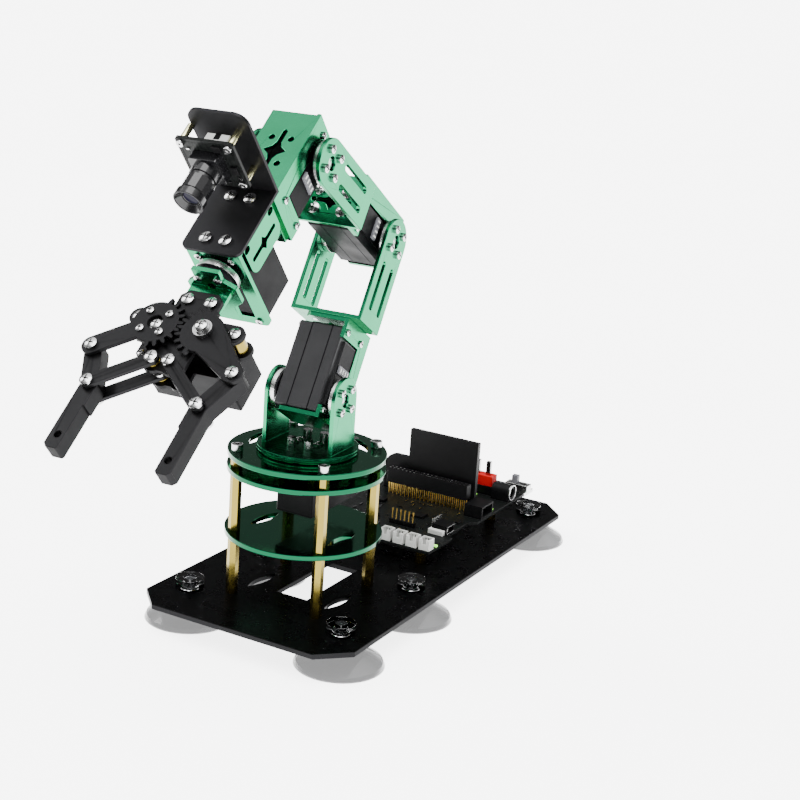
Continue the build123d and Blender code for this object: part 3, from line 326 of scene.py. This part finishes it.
LOOK = {
    "base_plate": BLACK_PLATE, "suction_cups": CUP, "cup_knobs": KNOB, "brass_standoffs": BRASS,
    "lower_disc": DISC_GREEN, "middle_disc": DISC_GREEN, "top_disc": DISC_GREEN,
    "control_board": BOARD, "pin_header": BLACK, "header_pins": GOLD, "upright_board": BLACK,
    "servo_ports": WHITE, "power_plug": RED, "power_prongs": STEEL, "board_sockets": BLACK,
    "switch_body": WHITE_METAL, "switch_knob": GREY, "turntable_disc": GREEN,
    # the shoulder servo takes the lit copy of the case, painted light
    "shoulder_servo": CASE_PAINTED_LIT, "camera_bracket": CAMERA_PLATE, "camera_board": BOARD,
    "camera_spacers": PALE_GOLD, "lens_holder": LENS_BLACK, "camera_lens": LENS_BLACK,
    "gripper_mount": GREEN, "gripper_upper_plate": DARK_PLATE, "gripper_lower_plate": DARK_PLATE,
    "gripper_spacers": BRASS, "drive_hub": STEEL,
    "left_gear_arm": DARK_PLATE, "right_gear_arm": DARK_PLATE,
    "left_inner_links": DARK_PLATE, "right_inner_links": DARK_PLATE,
    "left_finger": DARK_PLATE, "right_finger": DARK_PLATE}
ENDINGS = (("screws", STEEL), ("pivots", STEEL), ("servo", CASE), ("horns", HORN), ("horn", HORN),
           ("link", GREEN), ("fork", GREEN), ("bracket", GREEN))


WELD_REACH = 1e-6                       # metres
EDGE, FINE_EDGE = 0.22, 0.05            # bevel widths, in millimetres
FINE = ("header_pins", "camera_spacers")
SHARP, SHARP_ADDED = radians(38), radians(40)   # edges sharper than this are bevelled


def look_of(name):
    """A node's own material, or the one for its kind of part."""
    if name in LOOK:
        return LOOK[name]
    return next(material for ending, material in ENDINGS if name.endswith(ending))


def dress(name):
    """Gives a CAD node its material and small rounded edges."""
    ob = nodes[name]
    ob.data.materials.clear()
    ob.data.materials.append(look_of(name))
    weld = ob.modifiers.new("weld", "WELD")
    weld.merge_threshold = WELD_REACH
    bevel = ob.modifiers.new("edge", "BEVEL")
    bevel.width = (FINE_EDGE if name in FINE else EDGE) * MM
    bevel.segments = 2
    bevel.limit_method = "ANGLE"
    bevel.angle_limit = SHARP
    bevel.use_clamp_overlap = True
    for p in ob.data.polygons:
        p.use_smooth = False


for node_name in nodes:
    dress(node_name)


# ---- mesh building -----------------------------------------------------------------------------
class Piece:
    """Collects simple solids in one local frame and turns them into one object."""

    def __init__(self, name, place, body, material, slot):
        self.name, self.place, self.body = name, place, body
        self.material, self.slot = material, slot
        self.bm = bmesh.new()

    def _put(self, made, matrix):
        bmesh.ops.transform(self.bm, matrix=self.place @ matrix, verts=made)

    def box(self, x0, x1, y0, y1, z0, z1):
        size = Matrix.Diagonal((x1 - x0, y1 - y0, z1 - z0, 1))
        move = Matrix.Translation(((x0 + x1) / 2, (y0 + y1) / 2, (z0 + z1) / 2))
        made = bmesh.ops.create_cube(self.bm, size=1)["verts"]
        self._put(made, move @ size)
        return self

    def brick(self, x, y, w, d, z0, z1):
        """Box centred on (x, y)."""
        return self.box(x - w / 2, x + w / 2, y - d / 2, y + d / 2, z0, z1)

    def rod(self, r, z0, z1, x=0.0, y=0.0, axis="Z", sides=40):
        """Cylinder; with axis Y, z0 and z1 run along Y and the place is (x, z)."""
        made = bmesh.ops.create_cone(self.bm, cap_ends=True, segments=sides,
                                     radius1=r, radius2=r, depth=z1 - z0)["verts"]
        mid = (z0 + z1) / 2
        m = Matrix.Translation((x, y, mid))
        if axis == "Y":
            m = Matrix.Translation((x, mid, y)) @ Matrix.Rotation(-pi / 2, 4, "X")
        self._put(made, m)
        return self

    def ring(self, outer, inner, z0, z1, x=0.0, y=0.0, axis="Z", sides=56):
        """Tube between two radii, placed as rod is."""
        rows = []
        for r, z in ((inner, z0), (outer, z0), (outer, z1), (inner, z1)):
            row = []
            for k in range(sides):
                t = 2 * pi * k / sides
                u, v = r * cos(t), r * sin(t)
                p = (x + v, z, y + u) if axis == "Y" else (x + u, y + v, z)
                row.append(self.bm.verts.new(self.place @ Vector(p)))
            rows.append(row)
        for a in range(4):
            b = (a + 1) % 4
            for k in range(sides):
                n = (k + 1) % sides
                self.bm.faces.new((rows[a][k], rows[a][n], rows[b][n], rows[b][k]))
        return self

    def done(self, bevel):
        """Makes the object, with rounded edges when bevel, in mm, isn't 0."""
        bmesh.ops.recalc_face_normals(self.bm, faces=self.bm.faces)
        mesh = bpy.data.meshes.new(self.name)
        self.bm.to_mesh(mesh)
        self.bm.free()
        ob = bpy.data.objects.new(self.name, mesh)
        bpy.context.scene.collection.objects.link(ob)
        mesh.materials.append(self.material)
        if bevel:
            b = ob.modifiers.new("edge", "BEVEL")
            b.width, b.segments, b.limit_method = bevel * MM, 2, "ANGLE"
            b.angle_limit = SHARP_ADDED
        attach(ob, self.body)


# ---- servo and horn details --------------------------------------------------------------------
# A servo's case in its joint's frame: Y is the output axis and +Z runs along the case.
CASE_SIDE, CASE_NEAR, CASE_FAR = 10.2, -9.8, 33.0
CASE_REAR, COVER_FRONT = -12.4, 12.7
SEAMS_Y = (-5.2, 5.6)
SCREWS_X, SCREWS_Z = (-8.1, 8.1), (-7.9, 31.2)
HORN_RADIUS, HORN_FACE = 10.0, 16.9
PROUD = 0.12                            # how far the seams stand out


def servo_details(name, place, body):
    """Case seams, gear cover panel, corner screws and the side connector."""
    seam = Piece(f"{name}_seams", place, body, CASE_TOP, "servo_case")
    side = CASE_SIDE + PROUD
    for y in SEAMS_Y:
        seam.box(-side, side, y - 0.25, y + 0.25, CASE_NEAR - PROUD, CASE_FAR + PROUD)
    seam.box(-6.4, 6.4, COVER_FRONT - 0.1, COVER_FRONT + 0.05, -4.8, 26.8)
    seam.done(0.05)
    bolts = Piece(f"{name}_case_screws", place, body, STEEL, "steel")
    for x in SCREWS_X:
        for z in SCREWS_Z:
            bolts.rod(1.5, CASE_REAR - 0.5, CASE_REAR + 0.1, x, z, axis="Y", sides=20)
            bolts.ring(1.0, 0.45, CASE_REAR - 0.6, CASE_REAR - 0.45, x, z, axis="Y", sides=12)
    bolts.done(0.08)
    plug = Piece(f"{name}_connector", place, body, GREY, "black_plastic")
    plug.box(-5.4, 5.4, COVER_FRONT - 0.2, COVER_FRONT + 1.0, 11.3, 15.2)
    plug.done(0.15)
    pins = Piece(f"{name}_connector_pins", place, body, WHITE, "white_plastic")
    for k in range(4):
        x = 2.6 * (k - 1.5)
        pins.box(x - 0.35, x + 0.35, COVER_FRONT + 0.8, COVER_FRONT + 1.3, 12.0, 14.2)
    pins.done(0.08)


for servo_name, servo_place, servo_body in (
        ("shoulder_servo", UPPER_ARM, "upper_arm"), ("elbow_servo", FOREARM, "forearm"),
        ("wrist_servo", WRIST, "wrist")):
    servo_details(servo_name, servo_place, servo_body)


def horn_details(name, place, body):
    """Silver rims and centre screws of the two horns either side of a joint."""
    rim, rim_bore = HORN_RADIUS + 0.15, HORN_RADIUS - 1.1
    rims = Piece(f"{name}_rims", place, body, WHITE_METAL, "steel")
    rims.ring(rim, rim_bore, 15.3, HORN_FACE, axis="Y")
    rims.ring(rim, rim_bore, -HORN_FACE, -14.6, axis="Y")
    rims.done(0.1)
    hub = Piece(f"{name}_centre_screws", place, body, STEEL, "steel")
    hub.rod(2.4, 15.6, 17.9, axis="Y", sides=28).rod(2.3, -17.6, -17.0, axis="Y", sides=28)
    hub.box(-1.5, 1.5, 17.8, 18.0, -0.25, 0.25).box(-0.25, 0.25, 17.8, 18.0, -1.5, 1.5)
    hub.done(0.1)


LINK_END = Matrix.Translation((0, 0, LINK))
for horn_name, horn_place, horn_body in (
        ("shoulder_horns", FORK, "turntable"), ("elbow_horns", UPPER_ARM @ LINK_END, "upper_arm"),
        ("wrist_horns", FOREARM @ LINK_END, "forearm")):
    horn_details(horn_name, horn_place, horn_body)


roll_rim = Piece("roll_horn_rim", WRIST, "gripper_base", WHITE_METAL, "steel")
roll_rim.ring(HORN_RADIUS + 0.15, HORN_RADIUS - 1.0, 73.1, 75.7, -ROLL_OFFSET, 0)
roll_rim.done(0.1)


# ---- control board -----------------------------------------------------------------------------
PITCH = 2.54                            # spacing of pins
HEADER_X, UPRIGHT_X = -132.0, -139.0    # the two-row header and the upright board
PORTS_Y = (34.6, 26.8, 19.0, 11.2)
JACK_X, JACK_Z = -165.0, BOARD_TOP + 4.5


def board_piece(name, material, slot):
    """A piece on the board, measured in the row frame."""
    return Piece(name, WORLD, "base", material, slot)


def board_chips():
    """Black chips, each given as (x, y, width, depth, height)."""
    body = board_piece("board_chips", BLACK, "black_plastic")
    for x, y, w, d, h in ((-108, 8, 7, 7, 1.2), (-90, -14, 9, 9, 1.4), (-116, -20, 5, 4, 1.6),
                          (-152, 4, 6, 6, 1.2), (-112, 30, 4, 3, 1.3), (-176, -12, 8, 8, 3.8),
                          (-154, -22, 5, 5, 1.4), (-80, 25, 3, 3, 1.2)):
        body.brick(x, y, w, d, BOARD_TOP, BOARD_TOP + h)
    body.done(0.1)


def header_contacts():
    """Contacts in the top of the two-row header."""
    contacts = board_piece("header_contacts", WHITE_METAL, "steel")
    for k in range(20):
        for row in (-1, 1):
            contacts.brick(HEADER_X + row * PITCH / 2, (k - 9.5) * PITCH, 0.9, 0.9,
                           BOARD_TOP + 14.6, BOARD_TOP + 15.5)
    contacts.done(0)


def board_solder():
    """Legs of three chips, and the two ends of many scattered small parts."""
    legs = board_piece("board_solder", STEEL, "steel")
    for x, y, w in ((-108, 8, 7), (-90, -14, 9), (-152, 4, 6)):
        for k in range(6):
            t = -w / 2 + w * (k + 0.5) / 6
            for side in (-1, 1):
                legs.brick(x + t, y + side * w / 2, 0.4, 1.4, BOARD_TOP, BOARD_TOP + 0.4)
    for _ in range(70):
        x, y = random.uniform(-188, -78), random.uniform(-35, 30)
        if abs(x - HEADER_X) < 5 or abs(x - UPRIGHT_X) < 5:
            continue
        w, d = random.choice(((1.6, 0.8), (0.8, 1.6)))
        for side in (-0.7, 0.7):
            dx, dy = (side, 0) if w > d else (0, side)
            legs.brick(x + dx, y + dy, w, d, BOARD_TOP, BOARD_TOP + 0.6)
    legs.done(0)


def board_leds():
    """Three lit lamps."""
    led = board_piece("board_leds", LED, "green_anodised")
    for x, y in ((-143, 34.7), (-73, 36.6), (-160, 16)):
        led.brick(x, y, 1.6, 2.4, BOARD_TOP, BOARD_TOP + 0.9)
    led.done(0.1)


def pin_row():
    """Single row of six upright pins."""
    post = board_piece("board_pin_rows", GOLD, "brass")
    base = board_piece("board_pin_bases", BLACK, "black_plastic")
    for k in range(6):
        y = 1 + PITCH * k
        base.box(-91.3, -88.8, y - 1.2, y + 1.2, BOARD_TOP, BOARD_TOP + 2.5)
        post.brick(-90, y, 0.6, 0.6, BOARD_TOP + 2.0, BOARD_TOP + 8.4)
    base.done(0.1)
    post.done(0.05)


def port_pins():
    """Three pins in each white servo port."""
    port = board_piece("servo_port_pins", STEEL, "steel")
    for y in PORTS_Y:
        for k in (-1, 0, 1):
            port.brick(-68.9, y + 1.5 * k, 0.6, 0.6, BOARD_TOP + 1.0, BOARD_TOP + 5.4)
    port.done(0.05)


def board_shells():
    """Small connector block, upright shields, the red plug's foot and the socket shells."""
    top = BOARD_TOP
    block = board_piece("board_blocks", WHITE, "white_plastic")
    block.box(-94.5, -88.0, 24.0, 33.0, top, top + 2.6)
    block.done(0.2)
    shell = board_piece("board_shells", WHITE_METAL, "steel")
    shell.box(-108.0, -97.5, 21.2, 22.0, top, top + 4.6)
    shell.box(-176.5, -170.5, 17.0, 18.0, top, top + 7.0)
    shell.box(-187.0, -175.0, 39.6, 40.4, top, top + 2.0)
    shell.done(0.15)
    foot = board_piece("plug_foot", BLACK, "black_plastic")
    foot.box(-171.8, -164.0, 8.6, 24.4, top, top + 5.2)
    foot.done(0.2)
    trim = board_piece("socket_shells", STEEL, "steel")
    trim.ring(4.6, 4.0, 36.6, 37.6, JACK_X, JACK_Z, axis="Y")
    for z in (top + 4.1, top + 0.4):
        trim.box(-99.4, -91.1, 33.4, 34.4, z, z + 0.5)
    trim.rod(1.0, 29.5, 36.0, JACK_X, JACK_Z, axis="Y", sides=20)
    trim.done(0.08)


board_chips()
header_contacts()
board_solder()
board_leds()
pin_row()
port_pins()
board_shells()


STANDOFF_AT = 24.4                      # a standoff's x and y, on each side


def tower_caps():
    """Tall socket heads over the standoffs on the top disc."""
    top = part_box("top_disc")[1].z / MM
    caps = Piece("tower_caps", WORLD, "base", STEEL, "steel")
    for x in (-STANDOFF_AT, STANDOFF_AT):
        for y in (-STANDOFF_AT, STANDOFF_AT):
            caps.ring(2.8, 1.2, top, top + 3.6, x, y, sides=32)
    caps.done(0.2)


tower_caps()


# ---- camera module -----------------------------------------------------------------------------
LENS_X, LENS_Y = -42.1, -3.35           # the lens axis in the wrist frame
PCB_TOP = 45.4


def lens_details():
    """Front glass and the black rims of the lens."""
    glass = Piece("lens_glass", WRIST, "lens", GLASS, "knob")
    glass.rod(3.5, 64.6, 65.2, LENS_X, LENS_Y, sides=48)
    glass.done(0.3)
    rim = Piece("lens_rim", WRIST, "lens", HORN, "black_plastic")
    rim.ring(6.65, 6.1, 67.4, 68.0, LENS_X, LENS_Y).ring(4.3, 3.9, 65.1, 65.5, LENS_X, LENS_Y)
    rim.done(0.08)


def camera_details():
    """Screws, chips, solder and the white connector of the camera board."""
    heads = Piece("camera_corner_screws", WRIST, "wrist", STEEL, "steel")
    for dx in (-10.3, 10.3):
        for dy in (-11.5, 11.5):
            heads.ring(1.7, 0.5, PCB_TOP, PCB_TOP + 1.3, LENS_X + dx, LENS_Y + dy, sides=24)
    heads.done(0.15)
    parts = Piece("camera_chips", WRIST, "wrist", BLACK, "black_plastic")
    for dx, dy, w, d in ((-9.5, 6, 3, 4), (9.5, -4, 3, 5), (2, 10.5, 4, 3)):
        parts.brick(LENS_X + dx, LENS_Y + dy, w, d, PCB_TOP, PCB_TOP + 1.2)
    parts.done(0.08)
    solder = Piece("camera_solder", WRIST, "wrist", STEEL, "steel")
    for _ in range(26):
        dx, dy = random.uniform(-11, 11), random.uniform(-12, 12)
        if max(abs(dx), abs(dy)) > 8.6:
            solder.brick(LENS_X + dx, LENS_Y + dy, 0.8, 1.4, PCB_TOP, PCB_TOP + 0.5)
    solder.done(0)
    plug = Piece("camera_connector", WRIST, "wrist", WHITE, "white_plastic")
    plug.box(LENS_X - 11.0, LENS_X - 6.2, LENS_Y - 1.5, LENS_Y + 9.5, 38.8, 43.8)
    plug.done(0.2)
    # Painted shade: a black block fills the connector's notch.
    painted_notch_shade = Piece("camera_connector_painted_notch_shade", WRIST, "wrist", BLACK, "black_plastic")
    painted_notch_shade.box(LENS_X - 11.1, LENS_X - 8.0, LENS_Y + 2.6, LENS_Y + 5.4, 38.6, 42.0)
    painted_notch_shade.done(0.05)


lens_details()
camera_details()


# ---- floor, light and camera -------------------------------------------------------------------
FLOOR_HALF = 90.0                       # metres, so that it reaches the horizon
FLOOR_GLOW, SKY_POWER = 5.0, 3.2
# Brightness by height, between white at the horizon and nearly white overhead.
SKY = ((0.03, 0.9), (0.12, 0.05), (0.5, 0.05), (0.8, 0.7))


def lay_floor():
    """White floor that glows a little, out to the horizon."""
    h = FLOOR_HALF
    mesh = bpy.data.meshes.new("floor")
    mesh.from_pydata([(-h, -h, 0), (h, -h, 0), (h, h, 0), (-h, h, 0)], [], [(0, 1, 2, 3)])
    floor = bpy.data.objects.new("floor", mesh)
    bpy.context.scene.collection.objects.link(floor)
    s = Shader("floor", Roughness=0.7)
    s.set("Specular IOR Level", 0.1)
    paper = s.drift(s.noise(3, 2), (0.88, 0.88, 0.88), (0.9, 0.9, 0.9))
    s.colour(paper)
    s.link(paper, s.bsdf.inputs["Emission Color"])
    s.set("Emission Strength", FLOOR_GLOW)
    mesh.materials.append(s.mat)


def hang_sky():
    """Bright at the horizon and overhead, dark in between."""
    world = bpy.data.worlds.new("studio")
    bpy.context.scene.world = world
    world.use_nodes = True
    tree = world.node_tree
    back = tree.nodes["Background"]
    coord = tree.nodes.new("ShaderNodeTexCoord")
    split = tree.nodes.new("ShaderNodeSeparateXYZ")
    ramp = tree.nodes.new("ShaderNodeValToRGB")
    tree.links.new(coord.outputs["Generated"], split.inputs["Vector"])
    tree.links.new(split.outputs["Z"], ramp.inputs["Fac"])
    tree.links.new(ramp.outputs["Color"], back.inputs["Color"])
    stops = ramp.color_ramp.elements
    stops[0].position, stops[0].color = 0.0, (1, 1, 1, 1)
    stops[1].position, stops[1].color = 0.9, (0.85, 0.85, 0.86, 1)
    for at, level in SKY:
        stops.new(at).color = (level, level, level, 1)
    back.inputs["Strength"].default_value = SKY_POWER


def sun(name, azimuth, elevation, angle, power):
    """Broad distant light; azimuth turns from +X to +Y."""
    light = bpy.data.lights.new(name, "SUN")
    light.angle, light.energy = radians(angle), power
    ob = bpy.data.objects.new(name, light)
    bpy.context.scene.collection.objects.link(ob)
    az, el = radians(azimuth), radians(elevation)
    away = Vector((cos(az) * cos(el), sin(az) * cos(el), sin(el)))
    ob.rotation_euler = away.to_track_quat("Z", "Y").to_euler()


lay_floor()
hang_sky()
sun("overhead", azimuth=20, elevation=68, angle=50, power=4.5)
sun("side", azimuth=-75, elevation=38, angle=30, power=2.0)


def photo_camera(target, distance, azimuth, elevation, roll, lens):
    """Camera that looks at target; azimuth 0 looks along +Y and 90 along -X."""
    az, el, ro = radians(azimuth), radians(elevation), radians(roll)
    out = Vector((sin(az) * cos(el), -cos(az) * cos(el), sin(el)))
    right = Vector((cos(az), sin(az), 0))
    up = out.cross(right)
    r = cos(ro) * right + sin(ro) * up
    u = -sin(ro) * right + cos(ro) * up
    data = bpy.data.cameras.new("camera")
    data.lens, data.sensor_width = lens, 36.0
    data.clip_start, data.clip_end = 0.01, 50.0
    ob = bpy.data.objects.new("camera", data)
    bpy.context.scene.collection.objects.link(ob)
    m = Matrix((r, u, out)).transposed().to_4x4()
    m.translation = Vector(target) + out * distance
    ob.matrix_world = m
    bpy.context.scene.camera = ob


photo_camera(target=(-0.0345, 0.0303, 0.1117), distance=0.7865,
             azimuth=118.18, elevation=16.17, roll=4.05, lens=72.15)
